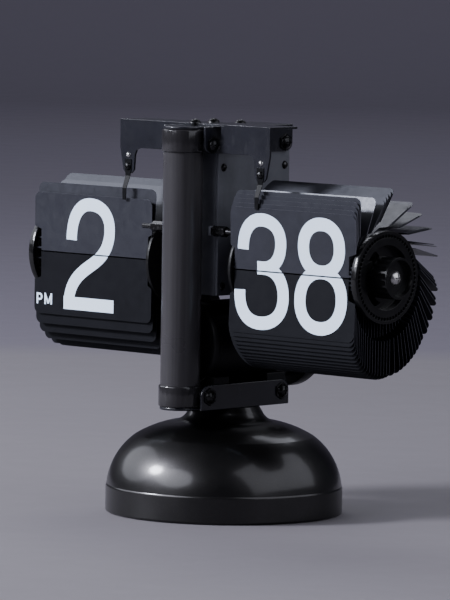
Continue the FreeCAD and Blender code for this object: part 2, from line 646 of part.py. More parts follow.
def make_case():
    """The movement case: an open box with the motor's seat, and its cover on the minute side."""
    wall, outside = "case_half - case_wall", "case_half + 1"
    centres = train_centres()

    def shaft_holes(label):
        """The holes that go through both sides: the drums' bush, the arbors and the channel's screw."""
        holes = [rod(label + "_bush_hole", "x", "bush_radius", "-case_half - 1", outside,
                     y="drum_y", z="drum_z"),
                 rod(label + "_screw_hole", "x", "screw_shank", "-case_half - 1", outside,
                     y="screw_rear_y", z="high_screw_z")]
        for name in ("transfer", "intermediate"):
            y, z = centres[name]
            holes.append(rod(f"{label}_{name}_hole", "x", "arbor_radius + running_gap",
                             "-case_half - 1", outside, y=str(y), z=str(z)))
        return holes

    block = box("case_block", "-case_half", wall, "case_front", "case_rear", "case_bottom", "high_web")
    cavity = box("case_cavity", "-case_half + case_wall", wall, "case_front + case_wall",
                 "case_rear - case_wall", "case_bottom + case_wall", "case_roof")
    pillars, holes = [], shaft_holes("movement_case")
    for i, (y, z) in enumerate(CASE_SCREWS):
        pillars.append(rod(f"case_pillar{i}", "x", "2.0", "-case_half + 0.5", wall, y=str(y), z=str(z)))
        holes.append(rod(f"case_screw_hole{i}", "x", "0.9", wall + " - 4", wall, y=str(y), z=str(z)))
    for i, y in enumerate(TOP_SCREW_Y[1:]):
        holes.append(rod(f"case_top_hole{i}", "z", "screw_shank", "high_web - 4", "high_web", y=str(y)))
    body = fused("case_body", less("case_hollow", block, cavity), *pillars)
    node(less("movement_case", body, *holes), "movement_case")

    plate = box("cover_plate", wall, "case_half", "case_front", "case_rear", "case_bottom", "high_web")
    ear = box("cover_ear", wall, "case_half", "stop_y - 2", "case_front", "stop_z - 2", "stop_z + 2")
    holes = shaft_holes("movement_cover")
    for i, (y, z) in enumerate(CASE_SCREWS):
        holes.append(rod(f"cover_screw_hole{i}", "x", "0.9", wall, "case_half", y=str(y), z=str(z)))
    node(less("movement_cover", fused("cover_blank", plate, ear), *holes), "movement_cover")

    half = size("case_half")
    screws = [pan_screw(Vector(half, y, z), Vector(1, 0, 0), 1.7, 1.1, 0.9, 4.4) for y, z in CASE_SCREWS]
    feature("case_screws", Part.makeCompound(screws))
    bushes = []
    for side in (-1, 1):
        outer = Part.makeCylinder(size("bush_radius"), 2.6, Vector(side * 9.4, *centres["drum"]),
                                  Vector(side, 0, 0))
        collar = Part.makeCylinder(4.4, 1.0, Vector(side * half, *centres["drum"]), Vector(side, 0, 0))
        hole = Part.makeCylinder(size("shaft_radius") + size("running_gap"), 6,
                                 Vector(side * 8, *centres["drum"]), Vector(side, 0, 0))
        bushes.append(outer.fuse(collar).cut(hole))
    feature("shaft_bushes", Part.makeCompound(bushes))


# ---------------------------------------------------------------- drums

def on_axis(x):
    return Vector(x, size("drum_y"), size("drum_z"))


def disc(radius, x0, x1):
    """A cylinder on the drums' axis between two places along it."""
    low, high = min(x0, x1), max(x0, x1)
    return Part.makeCylinder(radius, high - low, on_axis(low), Vector(1, 0, 0))


def ring(outer, inner, x0, x1):
    return disc(outer, x0, x1).cut(disc(inner, x0, x1))


def make_flanges(drum, side, pivots):
    """The two flanges of a drum. The cards' pins run in a groove in each one's inner face."""
    radius, pin_circle, half = size("flange_radius"), size("hinge_radius"), size("groove_half")
    depth, bore = size("groove_depth"), size("shaft_radius")
    inner, inner_end = size("inner_flange_x"), size("inner_flange_x") + size("inner_flange")
    plate = disc(radius, side * inner, side * inner_end).fuse(disc(5.0, side * 13.5, side * inner))
    groove = ring(pin_circle + half, pin_circle - half, side * (inner_end - depth), side * inner_end)
    plate = plate.cut(groove).cut(disc(bore, side * 10, side * 30)).removeSplitter()
    feature(f"{drum}_inner_flange", plate)

    outer, outer_end = size("outer_flange_x"), size("outer_flange_x") + size("outer_flange")
    annulus, web = size("annulus_inner"), size("web_x")
    rim = ring(radius, annulus, side * outer, side * outer_end)
    wall = ring(annulus + 1.0, annulus, side * web, side * outer)
    floor = ring(annulus, bore, side * web, side * (web + size("web")))
    plate = rim.multiFuse([wall, floor]).removeSplitter()
    groove = ring(pin_circle + half, pin_circle - half, side * outer, side * (outer + depth))
    holes = []
    for i in range(pivots):
        turn = math.radians(360 * (i + 0.5) / pivots)
        place = on_axis(side * outer_end) + Vector(0, pin_circle * math.sin(turn),
                                                   pin_circle * math.cos(turn))
        holes.append(Part.makeCylinder(0.7, 1.2, place, Vector(-side, 0, 0)))
    windows = [swirl_window(side, web, i) for i in range(3)]
    feature(f"{drum}_outer_flange", plate.cut(groove).cut(Part.makeCompound(holes + windows)))


def swirl_window(side, web, number):
    """One of three curved windows in a flange's floor: a crescent between two circles."""
    turn = Rotation(Vector(1, 0, 0), 120 * number)
    outer = Part.makeCylinder(4.3, 4, on_axis(web - 1) + turn.multVec(Vector(0, 7.9, 1.0)), Vector(1, 0, 0))
    inner = Part.makeCylinder(4.6, 4, on_axis(web - 1) + turn.multVec(Vector(0, 4.6, 3.4)), Vector(1, 0, 0))
    window = outer.cut(inner)
    if side < 0:
        window = window.mirror(on_axis(0), Vector(1, 0, 0))
    return window


def make_drum_core(drum, side):
    """A drum's hub between its flanges and the shaft through it."""
    bore = size("shaft_radius")
    start = size("inner_flange_x") + size("inner_flange")
    feature(f"{drum}_hub", ring(size("hub_radius"), bore, side * start, side * size("web_x")))
    if drum == "minute":
        spindle = disc(bore, 6.0, 95.5).multiFuse([disc(1.2, 0.6, 6.0), disc(0.8, -5.0, 0.6)])
        spindle = spindle.cut(disc(1.1, 88.0, 95.5))
    else:
        spindle = disc(bore, -0.6, -95.5).cut(disc(0.8 + size("running_gap"), -0.6, -5.4))
        spindle = spindle.cut(disc(1.1, -88.0, -95.5))
    feature(f"{drum}_shaft", spindle.removeSplitter())


def make_knob():
    """The knurled setting knob on the minute side, the plain hub cap on the hour side, and screws."""
    radius, face = size("knob_radius"), size("knob_face")
    seat = size("web_x") + size("web")
    knob = disc(radius, seat, face)
    grooves = []
    for i in range(18):
        turn = math.radians(20 * i)
        place = on_axis(seat + 2.2) + Vector(0, (radius + 0.35) * math.sin(turn),
                                             (radius + 0.35) * math.cos(turn))
        grooves.append(Part.makeCylinder(0.95, face - seat - 3.4, place, Vector(1, 0, 0)))
    knob = knob.cut(Part.makeCompound(grooves))
    knob = knob.cut(disc(radius - 1.0, face - 2.6, face)).cut(disc(2.0, seat, 95.5))
    feature("minute_knob", knob.cut(disc(1.1, 95.5, face)))
    screw = pan_screw(on_axis(face - 2.6), Vector(1, 0, 0), size("knob_screw"), 2.1, 1.1, 8.5)
    feature("knob_screw", screw)
    cap = disc(5.0, -seat, -seat - 6.4).cut(disc(2.0, -seat, -95.5)).cut(disc(1.1, -95.5, -98))
    feature("hour_hub_cap", cap)
    screw = pan_screw(on_axis(-seat - 6.4), Vector(-1, 0, 0), 3.0, 1.9, 1.1, 7.2)
    feature("hour_cap_screw", screw)


# ---------------------------------------------------------------- cards

# (hinge angle about the drum, lean of the card from straight up), both towards the back
MINUTE_LEANS = ((-87, -2.1), (-81, -1.6), (-63, 1), (-57, 22), (-51, 33.5), (-27, 33.8), (-21, 59.5),
                (-15, 59.3), (-9, 58.7), (-3, 71.5), (3, 71.1), (9, 84.4), (21, 83.2), (27, 97.3),
                (33, 97.3), (39, 104.5), (45, 125), (63, 127), (69, 134), (75, 135), (81, 142),
                (87, 143.5), (93, 150), (99, 152), (105, 158), (129, 165), (153, 172), (165, 180),
                (231, 180), (249, 181), (261, 182.2), (267, 182.4))
HOUR_LEANS = ((-82.5, -0.5), (-67.5, 3), (-52.5, 31), (-37.5, 33.3), (-22.5, 50), (-7.5, 60),
              (7.5, 71), (37.5, 86), (52.5, 98), (82.5, 126), (97.5, 152), (142.5, 174), (157.5, 180),
              (262.5, 180))
# how far a card that isn't on the reading face reaches below its hinge
STACKED_TAIL = 1.2


def between(knots, at):
    """A straight-line reading between knots of (place, value)."""
    for (low, first), (high, last) in zip(knots, knots[1:]):
        if low <= at <= high:
            return first + (last - first) * (at - low) / (high - low)
    raise ValueError(at)


def card_blank(side, tip, tail):
    """A card standing straight up with its hinge line on the X axis: notched, with two pins.
    Its tip is that far above the hinge, and its tail that far below."""
    inner, outer = side * size("card_inner_x"), side * size("card_outer_x")
    notch_in, notch_out = side * size("notch_inner_x"), side * size("notch_outer_x")
    pin_in, pin_out, pin = side * size("pin_inner_x"), side * size("pin_outer_x"), size("pin_half")
    shoulder, corner = size("notch_height"), size("card_corner")

    def at(x, z):
        return Vector(x, -size("card_thickness") / 2, z)

    def bend(x, z, dx, dz):
        """The quarter round of a corner, from its start to its end."""
        middle = (1 - math.sqrt(0.5)) * corner
        first, last = at(x - dx * corner, z), at(x, z - dz * corner)
        return Part.Arc(first, at(x - dx * middle, z - dz * middle), last), first, last

    top_in, in_side, in_down = bend(inner, tip, -side, 1)
    top_out, out_side, out_down = bend(outer, tip, side, 1)
    corners = [in_down, at(inner, shoulder), at(notch_in, shoulder - 1.2), at(notch_in, pin),
               at(pin_in, pin), at(pin_in, -pin), at(notch_in, -pin), at(notch_in, -tail),
               at(notch_out, -tail), at(notch_out, -pin), at(pin_out, -pin), at(pin_out, pin),
               at(notch_out, pin), at(notch_out, shoulder - 1.2), at(outer, shoulder), out_down]
    edges = [Part.LineSegment(a, b).toShape() for a, b in zip(corners, corners[1:])]
    edges += [top_out.toShape(), Part.LineSegment(out_side, in_side).toShape(), top_in.toShape()]
    face = Part.Face(Part.Wire(Part.__sortEdges__(edges)))
    return face.extrude(Vector(0, size("card_thickness"), 0))


def hung(blank, hinge, lean):
    """The blank card moved to its hinge on the drum and leaned."""
    radius, turn = size("hinge_radius"), math.radians(hinge)
    place = on_axis(0) + Vector(0, radius * math.sin(turn), radius * math.cos(turn))
    blank.Placement = Placement(place, Rotation(Vector(1, 0, 0), -lean))
    return blank


def make_cards(drum, side, leans, pivots):
    """A drum's cards, grouped by where they hang: the card about to fall, the cards behind it,
    those leaning at the back, those hanging below, and the lower card on the reading face."""
    step, first = 360 / pivots, leans[0][0]
    above_axis = size("hinge_radius") * math.cos(math.radians(first))
    tip, gap, crease = size("card_reach") - above_axis, size("crease_gap"), size(f"{drum}_crease")
    upper_tail = size("drum_z") + above_axis - crease - gap
    lower_tail = crease - size("drum_z") + above_axis - gap
    tails = {0: upper_tail, pivots - 1: lower_tail}
    groups = {"falling_card": [], "upper_cards": [], "rear_cards": [], "hanging_cards": [],
              "lower_card": []}
    for i in range(pivots):
        hinge = first + step * i
        if i == 0:
            group = "falling_card"
        elif i == pivots - 1:
            group = "lower_card"
        elif hinge < -54:
            group = "upper_cards"
        elif hinge < 130:
            group = "rear_cards"
        else:
            group = "hanging_cards"
        blank = card_blank(side, tip, tails.get(i, min(upper_tail, STACKED_TAIL)))
        groups[group].append(hung(blank, hinge, between(leans, hinge)))
    for group, cards in groups.items():
        feature(f"{drum}_{group}", cards[0] if len(cards) == 1 else Part.makeCompound(cards))


# ---------------------------------------------------------------- assembly

def write_steps():
    """Checks every object, then writes each sub-part to its own STEP file."""
    doc.recompute()
    for thing in doc.Objects:
        if {"Invalid", "Error"} & set(thing.State):
            raise RuntimeError(f"{thing.Label} did not compute: {thing.State}")
    os.makedirs("parts", exist_ok=True)
    for thing in NODES:
        if thing.Shape.isNull() or not thing.Shape.isValid():
            raise RuntimeError(f"{thing.Label} has no valid shape")
    for thing in NODES:
        thing.Shape.exportStep(f"parts/{thing.Label}.step")
        print(f"{thing.Label}: {len(thing.Shape.Solids)} solids, {thing.Shape.Volume:.1f} mm3")


make_base()
make_neck_fasteners()
make_channel("bottom_channel", "neck_top", "neck_top + sheet", "low_flange_top", 4.6, True)
make_channel("top_channel", "high_web", "high_web + sheet", "high_flange_bottom", 3.6, False)
make_column()
make_channel_screws()
make_bracket()
make_leaves()
make_side_posts()
make_battery_holder()
make_movement()
make_case()
for drum, side, leans, pivots in (("minute", 1, MINUTE_LEANS, 60), ("hour", -1, HOUR_LEANS, 24)):
    make_flanges(drum, side, pivots)
    make_drum_core(drum, side)
    make_cards(drum, side, leans, pivots)
make_knob()
write_steps()
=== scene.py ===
"""The looks of a balance-style flip number clock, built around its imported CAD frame.

Metres, in the CAD's own frame: +X to the reader's right, +Y to the back, +Z up. The printed figures
are drawn in millimetres from the crease of a card and laid on the cards' own planes.
"""

import json
import math

import bmesh
import bpy
from mathutils import Matrix, Vector


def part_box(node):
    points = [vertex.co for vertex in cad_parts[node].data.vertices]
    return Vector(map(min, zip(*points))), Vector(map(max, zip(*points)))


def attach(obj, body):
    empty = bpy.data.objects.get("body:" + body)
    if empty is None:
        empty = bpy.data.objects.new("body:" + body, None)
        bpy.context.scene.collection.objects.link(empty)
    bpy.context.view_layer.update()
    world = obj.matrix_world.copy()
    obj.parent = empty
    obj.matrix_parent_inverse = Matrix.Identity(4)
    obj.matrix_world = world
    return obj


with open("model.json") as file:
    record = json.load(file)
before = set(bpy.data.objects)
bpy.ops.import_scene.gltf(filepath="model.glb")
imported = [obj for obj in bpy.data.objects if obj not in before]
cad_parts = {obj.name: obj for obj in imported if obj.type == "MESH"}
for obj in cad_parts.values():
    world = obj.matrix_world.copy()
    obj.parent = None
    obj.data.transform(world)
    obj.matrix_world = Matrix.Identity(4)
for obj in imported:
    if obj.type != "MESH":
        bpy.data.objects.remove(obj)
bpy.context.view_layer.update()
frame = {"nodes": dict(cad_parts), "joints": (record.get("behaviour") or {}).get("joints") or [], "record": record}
nodes = frame["nodes"]
joints = {joint["name"]: joint for joint in frame["joints"]}
MM = 0.001
CAMERA_AZIMUTH = math.radians(43.2)
AWAY = Vector((-math.sin(CAMERA_AZIMUTH), math.cos(CAMERA_AZIMUTH), 0))
CENTRE = Vector((0, 0, 0.09))


# ---------------------------------------------------------------- node trees

class Tree:
    """A short way to write a material's nodes."""

    def __init__(self, name):
        self.material = bpy.data.materials.new(name)
        self.material.use_nodes = True
        self.nodes = self.material.node_tree.nodes
        self.links = self.material.node_tree.links
        self.nodes.clear()
        self.shader = self.nodes.new("ShaderNodeBsdfPrincipled")
        output = self.nodes.new("ShaderNodeOutputMaterial")
        self.links.new(self.shader.outputs["BSDF"], output.inputs["Surface"])
        self.place = self.nodes.new("ShaderNodeTexCoord").outputs["Object"]

    def add(self, kind, **settings):
        """A new node of that kind, with its settings."""
        made = self.nodes.new("ShaderNode" + kind)
        for name, value in settings.items():
            setattr(made, name, value)
        return made

    def stretched(self, scale):
        """The object's own coordinates, stretched by a scale along each axis."""
        mapping = self.add("Mapping")
        mapping.inputs["Scale"].default_value = scale
        self.links.new(self.place, mapping.inputs["Vector"])
        return mapping.outputs["Vector"]

    def noise(self, scale, detail, stretch=(1, 1, 1)):
        """Noise from 0 to 1 on the object, with that many features to a metre."""
        texture = self.add("TexNoise")
        texture.inputs["Scale"].default_value = scale
        texture.inputs["Detail"].default_value = detail
        texture.inputs["Roughness"].default_value = 0.55
        self.links.new(self.stretched(stretch), texture.inputs["Vector"])
        return texture.outputs["Fac"]

    def spread(self, value, low, high, out_low, out_high):
        """A value's stretch from low to high, remapped."""
        remap = self.add("MapRange", clamp=True)
        for slot_name, number in (("From Min", low), ("From Max", high),
                                  ("To Min", out_low), ("To Max", out_high)):
            remap.inputs[slot_name].default_value = number
        self.links.new(value, remap.inputs["Value"])
        return remap.outputs["Result"]

    def uneven(self, scale, detail, low, high, stretch=(1, 1, 1)):
        """A value that drifts between two over the surface."""
        return self.spread(self.noise(scale, detail, stretch), 0.3, 0.7, low, high)

    def math(self, operation, first, second):
        """A sum on two values, each a number or a socket."""
        made = self.add("Math", operation=operation)
        for slot_number, value in enumerate((first, second)):
            if isinstance(value, (int, float)):
                made.inputs[slot_number].default_value = value
            else:
                self.links.new(value, made.inputs[slot_number])
        return made.outputs["Value"]

    def mixed(self, factor, first, second):
        """A colour between two, each a colour or a socket."""
        mix = self.add("Mix", data_type="RGBA")
        self.links.new(factor, mix.inputs["Factor"])
        for slot_name, value in (("A", first), ("B", second)):
            socket = [s for s in mix.inputs if s.name == slot_name and s.type == "RGBA"][0]
            if isinstance(value, tuple):
                socket.default_value = (*value, 1.0)
            else:
                self.links.new(value, socket)
        return [s for s in mix.outputs if s.type == "RGBA"][0]

    def cloudy(self, scale, detail, dark, light):
        """A colour that drifts between two over the surface."""
        return self.mixed(self.uneven(scale, detail, 0, 1), dark, light)

    def facing_up(self):
        """How far the surface faces up, 0 to 1."""
        geometry = self.add("NewGeometry")
        split = self.add("SeparateXYZ")
        self.links.new(geometry.outputs["Normal"], split.inputs["Vector"])
        return self.spread(split.outputs["Z"], 0.2, 1.0, 0.0, 1.0)

    def cut_edges(self, tips):
        """1 on a card's cut side edges and, if asked, on its tip edge; 0 on its faces."""
        split = self.add("SeparateXYZ")
        self.links.new(self.add("TexCoord").outputs["Normal"], split.inputs["Vector"])
        sides = self.math("GREATER_THAN", self.math("ABSOLUTE", split.outputs["X"], 0), 0.9)
        if not tips:
            return sides
        return self.math("MAXIMUM", sides, self.math("GREATER_THAN", split.outputs["Z"], 0.8))

    def bump(self, height, distance, strength, over=None):
        """A normal bent by a height field, over another normal if one is given."""
        made = self.add("Bump")
        made.inputs["Distance"].default_value = distance
        made.inputs["Strength"].default_value = strength
        self.links.new(height, made.inputs["Height"])
        if over is not None:
            self.links.new(over, made.inputs["Normal"])
        return made.outputs["Normal"]

    def set(self, **values):
        """Sets the shader's sockets: numbers and colours on the socket, anything else as a link."""
        for name, value in values.items():
            socket = self.shader.inputs[name.replace("_", " ")]
            if isinstance(value, tuple):
                socket.default_value = (*value, 1.0) if len(value) == 3 else value
            elif isinstance(value, (int, float)):
                socket.default_value = value
            else:
                self.links.new(value, socket)
        return self.material


# ---------------------------------------------------------------- materials

def gloss_paint():
    """Deep gunmetal gloss on the spun base: faint orange peel, flake sparkle and a little dust."""
    tree = Tree("gloss_paint")
    flake = tree.noise(5200, 1)
    color = tree.cloudy(38, 4, (0.022, 0.0215, 0.022), (0.030, 0.029, 0.0295))
    color = tree.mixed(tree.spread(flake, 0.62, 0.75, 0, 0.35), color, (0.12, 0.12, 0.123))
    specks = tree.spread(tree.noise(900, 6), 0.55, 0.85, 0, 0.05)
    dust = tree.math("MULTIPLY", tree.facing_up(), specks)
    color = tree.mixed(dust, color, (0.12, 0.115, 0.11))
    rough = tree.spread(tree.noise(60, 5), 0.25, 0.75, 0.32, 0.40)
    peel = tree.bump(tree.noise(1300, 2), 0.00002, 0.25)
    return tree.set(Base_Color=color, Metallic=1.0, Roughness=rough, Normal=peel,
                    Coat_Weight=0.45, Coat_Roughness=0.14)


def column_paint(name="column_paint", shade=1.0, low_rough=0.26, gloss=0.3):
    """Semi-gloss black over a drawn tube, with fine lines along the draw."""
    tree = Tree(name)
    drawn = tree.noise(900, 3, stretch=(1, 1, 0.02))
    dark = (0.026 * shade, 0.0245 * shade, 0.027 * shade)
    light = (0.036 * shade, 0.034 * shade, 0.037 * shade)
    color = tree.mixed(tree.spread(drawn, 0.3, 0.7, 0, 1), dark, light)
    rough = tree.uneven(70, 5, low_rough, low_rough + 0.08)
    lines = tree.bump(drawn, 0.00002, 0.5)
    peel = tree.bump(tree.noise(1700, 2), 0.00002, 0.4, over=lines)
    return tree.set(Base_Color=color, Roughness=rough, Normal=peel, Specular_IOR_Level=gloss)


def powder_coat(name="powder_coat", shade=1.0, gloss=0.35, low_rough=0.26, blue=1.0):
    """Satin powder coat on folded sheet: tiny even pimples and faint rub marks."""
    tree = Tree(name)
    dark = (0.010 * shade, 0.0105 * shade, 0.0125 * shade * blue)
    light = (0.015 * shade, 0.0155 * shade, 0.018 * shade * blue)
    color = tree.cloudy(120, 5, dark, light)
    rub = tree.spread(tree.noise(260, 6, stretch=(1, 1, 0.25)), 0.62, 0.8, 0, 0.3)
    color = tree.mixed(rub, color, (0.045, 0.045, 0.048))
    rough = tree.spread(tree.noise(150, 4), 0.25, 0.75, low_rough, low_rough + 0.09)
    pimples = tree.bump(tree.noise(2600, 2), 0.00003, 0.5)
    return tree.set(Base_Color=color, Roughness=rough, Normal=pimples, Specular_IOR_Level=gloss)


def card_stock(name, shade, low_rough, gloss, tips=False):
    """Black card with a low sheen: a soft fibrous grain, specks of wear, and at its cut edges a paler colour that
    is partly a paler core and partly a painted highlight; with tips, the tip edge carries a brighter painted
    highlight where light catches it."""
    tree = Tree(name)

    def grey(level):
        return (level * shade, level * shade * 1.02, level * shade * 1.35)

    color = tree.cloudy(55, 4, grey(0.021), grey(0.027))
    fibre = tree.noise(1500, 4, stretch=(0.35, 1, 1))
    color = tree.mixed(tree.spread(fibre, 0.45, 0.8, 0, 0.4), color, grey(0.040))
    speck = tree.spread(tree.noise(2400, 1), 0.735, 0.77, 0, 0.25)
    color = tree.mixed(speck, color, grey(0.13))
    # Cut edges: partly a paler core, partly a painted highlight; with tips, the tip edges get a brighter painted
    # highlight.
    pale_core_and_highlight = (0.16, 0.16, 0.19) if tips else (0.05, 0.05, 0.06)
    color = tree.mixed(tree.cut_edges(tips), color, pale_core_and_highlight)
    rough = tree.uneven(300, 4, low_rough, low_rough + 0.1)
    grain = tree.bump(fibre, 0.00003, 0.35)
    return tree.set(Base_Color=color, Roughness=rough, Normal=grain, Specular_IOR_Level=gloss,
                    Specular_Tint=(0.86, 0.9, 1.0))


def figure_ink():
    """White screen-printed ink: nearly flat, with pinholes and a faint mesh texture."""
    tree = Tree("figure_ink")
    color = tree.cloudy(90, 5, (0.70, 0.83, 0.99), (0.74, 0.87, 1.0))
    rough = tree.uneven(500, 3, 0.42, 0.55)
    mesh = tree.bump(tree.noise(3200, 2), 0.00002, 0.4)
    return tree.set(Base_Color=color, Roughness=rough, Normal=mesh)


def black_plastic(name="black_plastic", low_rough=0.34, gloss=0.14):
    """Moulded black plastic with a fine spark-eroded texture."""
    tree = Tree(name)
    color = tree.cloudy(80, 4, (0.004, 0.004, 0.0045), (0.007, 0.007, 0.0075))
    rough = tree.uneven(240, 4, low_rough, low_rough + 0.12)
    texture = tree.bump(tree.noise(2900, 2), 0.00003, 0.4)
    return tree.set(Base_Color=color, Roughness=rough, Normal=texture, Specular_IOR_Level=gloss)


def black_oxide():
    """Black oxide on steel fasteners: dark, shiny, bright where a driver has turned it."""
    tree = Tree("black_oxide")
    color = tree.mixed(tree.spread(tree.noise(700, 4), 0.5, 0.75, 0, 0.6), (0.02, 0.02, 0.021),
                       (0.10, 0.10, 0.10))
    rough = tree.uneven(900, 3, 0.18, 0.32)
    scratch = tree.bump(tree.noise(1800, 3), 0.00002, 0.4)
    return tree.set(Base_Color=color, Metallic=0.9, Roughness=rough, Normal=scratch)


def bright_steel():
    """Zinc-plated steel with turning marks and light scuffs."""
    tree = Tree("bright_steel")
    color = tree.cloudy(350, 5, (0.46, 0.46, 0.45), (0.62, 0.61, 0.60))
    rough = tree.uneven(800, 4, 0.20, 0.36, stretch=(1, 1, 0.2))
    turned = tree.bump(tree.noise(2500, 2, stretch=(1, 0.1, 0.1)), 0.00002, 0.5)
    return tree.set(Base_Color=color, Metallic=1.0, Roughness=rough, Normal=turned)


def turned_brass():
    """Brass with turning marks and darker patches."""
    tree = Tree("turned_brass")
    color = tree.cloudy(300, 5, (0.50, 0.36, 0.13), (0.64, 0.47, 0.20))
    rough = tree.uneven(700, 4, 0.22, 0.38)
    turned = tree.bump(tree.noise(2500, 2, stretch=(1, 0.1, 0.1)), 0.00002, 0.4)
    return tree.set(Base_Color=color, Metallic=1.0, Roughness=rough, Normal=turned)


def foot_rubber():
    """Dull black rubber under the base."""
    tree = Tree("foot_rubber")
    color = tree.cloudy(200, 5, (0.012, 0.012, 0.012), (0.024, 0.023, 0.022))
    rough = tree.uneven(400, 4, 0.72, 0.88)
    texture = tree.bump(tree.noise(2200, 3), 0.00006, 0.6)
    return tree.set(Base_Color=color, Roughness=rough, Normal=texture)


def sand_casting():
    """Rough cast iron for the hidden weight."""
    tree = Tree("sand_casting")
    color = tree.cloudy(400, 6, (0.08, 0.075, 0.07), (0.15, 0.14, 0.13))
    rough = tree.uneven(500, 4, 0.55, 0.75)
    texture = tree.bump(tree.noise(1200, 5), 0.0001, 0.7)
    return tree.set(Base_Color=color, Metallic=0.7, Roughness=rough, Normal=texture)


def nylon():
    """Natural nylon for the movement's wheels."""
    tree = Tree("nylon")
    color = tree.cloudy(300, 4, (0.60, 0.59, 0.55), (0.70, 0.69, 0.65))
    rough = tree.uneven(500, 4, 0.36, 0.5)
    texture = tree.bump(tree.noise(1800, 2), 0.00003, 0.4)
    return tree.set(Base_Color=color, Roughness=rough, Normal=texture, Subsurface_Weight=0.08)


def cell_wrap():
    """The cell's plain printed wrap: dark with a paler band at one end."""
    tree = Tree("cell_wrap")
    split = tree.add("SeparateXYZ")
    tree.links.new(tree.place, split.inputs["Vector"])
    low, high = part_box("battery_cell")
    edge = low.y + 0.3 * (high.y - low.y)
    band = tree.spread(split.outputs["Y"], edge, edge + 0.0003, 0, 1)
    color = tree.mixed(band, (0.42, 0.30, 0.12), (0.05, 0.05, 0.055))
    rough = tree.uneven(300, 4, 0.22, 0.36)
    film = tree.bump(tree.noise(600, 3), 0.00003, 0.3)
    return tree.set(Base_Color=color, Roughness=rough, Normal=film, Metallic=0.3)


def studio_floor():
    """Plain pale paper on the floor that turns to a darker grey up the backdrop."""
    tree = Tree("studio_floor")
    color = tree.cloudy(6, 4, (0.143, 0.133, 0.147), (0.148, 0.138, 0.152))
    depth = tree.add("VectorMath", operation="DOT_PRODUCT")
    tree.links.new(tree.place, depth.inputs[0])
    depth.inputs[1].default_value = AWAY
    wall = tree.spread(depth.outputs["Value"], 0.70, 0.78, 0, 1)
    color = tree.mixed(wall, color, (0.12, 0.11, 0.137))
    rough = tree.uneven(30, 4, 0.62, 0.72)
    paper = tree.bump(tree.noise(900, 3), 0.00004, 0.3)
    return tree.set(Base_Color=color, Roughness=rough, Normal=paper, Specular_IOR_Level=0.3)


FINISHES = {
    "base_paint": gloss_paint, "column_paint": column_paint, "satin_paint": powder_coat,
    "black_plastic": black_plastic, "black_steel": black_oxide, "bright_steel": bright_steel,
    "brass": turned_brass, "foot_rubber": foot_rubber, "iron": sand_casting, "nylon": nylon,
    "cell_wrap": cell_wrap,
}
finish = {slot_name: make() for slot_name, make in FINISHES.items()}
finish["card"] = card_stock("card_stock", shade=0.6, low_rough=0.34, gloss=0.34)
# The front cards' tip edges carry a painted highlight where light catches them.
front_card = card_stock("card_stock_front_edge_highlight", shade=0.6, low_rough=0.34, gloss=0.34, tips=True)
# A darker copy of the same card stock: painted shade for the lower and hanging cards, which show darker than the
# upper ones under the same light.
shaded_card_copy = card_stock("card_stock_painted_shade", shade=0.16, low_rough=0.42, gloss=0.11)
case_coat = powder_coat("case_coat", shade=7.0, gloss=0.4, low_rough=0.40)
leaf_coat = powder_coat("leaf_coat", shade=0.35, gloss=0.05, low_rough=0.40)
cap_paint = column_paint("cap_paint", shade=0.55, low_rough=0.10, gloss=0.5)
bracket_paint = powder_coat("bracket_paint", shade=0.9, gloss=0.42, low_rough=0.16, blue=1.15)
knob_plastic = black_plastic("knob_plastic", low_rough=0.14, gloss=0.30)
ink = figure_ink()

# How a node's name ends, for the nodes whose finish is not their slot's own.
OWN_FINISHES = {
    # The lower and hanging cards take the painted-shade copy of the card stock.
    "lower_card": shaded_card_copy, "hanging_cards": shaded_card_copy,
    "falling_card": front_card, "upper_cards": front_card,
    "column_foot": cap_paint, "column_head": cap_paint,
    "movement_case": case_coat, "movement_cover": case_coat, "_leaf": leaf_coat,
    "pawl_bracket": bracket_paint, "bottom_channel": bracket_paint, "top_channel": bracket_paint,
    "minute_knob": knob_plastic, "minute_outer_flange": knob_plastic,
    "hour_hub_cap": knob_plastic, "hour_outer_flange": knob_plastic,
}


# ---------------------------------------------------------------- CAD nodes

BEVEL_ANGLE = math.radians(32)
SOFT_EDGES = {
    # node: bevel width in mm
    "bottom_channel": 0.35, "top_channel": 0.3, "pawl_bracket": 0.14, "battery_saddle": 0.4,
    "movement_case": 0.08, "movement_cover": 0.35, "column_foot": 0.25, "column_head": 0.08,
    "battery_rear_cap": 0.5, "battery_front_cap": 0.2, "minute_knob": 0.05, "hour_hub_cap": 0.3,
    "channel_screws": 0.06, "channel_washers": 0.15, "top_screws": 0.04, "leaf_screws": 0.04,
    "side_posts": 0.06, "knob_screw": 0.05, "minute_inner_flange": 0.2, "minute_outer_flange": 0.15,
    "hour_inner_flange": 0.2, "hour_outer_flange": 0.15,
}


def finish_of(part):
    """A node's own finish, or its slot's."""
    for ending, material in OWN_FINISHES.items():
        if part["node"].endswith(ending):
            return material
    return finish[part["material_slot"]]


def dress_cad_nodes():
    """Gives every CAD node its material, welded and softened edges where a real one has them."""
    for part in frame["record"]["subparts"]:
        piece = nodes[part["node"]]
        piece.data.materials.clear()
        piece.data.materials.append(finish_of(part))
        width = SOFT_EDGES.get(part["node"])
        if width:
            weld = piece.modifiers.new("weld", "WELD")
            weld.merge_threshold = 1e-6
            # Sliding or clamping the bevel leaves slits and slivers on the CAD's long triangles.
            bevel = piece.modifiers.new("edges", "BEVEL")
            bevel.width = width * MM
            bevel.segments = 2
            bevel.limit_method = "ANGLE"
            bevel.angle_limit = BEVEL_ANGLE
            bevel.use_clamp_overlap = False
            bevel.loop_slide = False
            bevel.harden_normals = True


# ---------------------------------------------------------------- figures

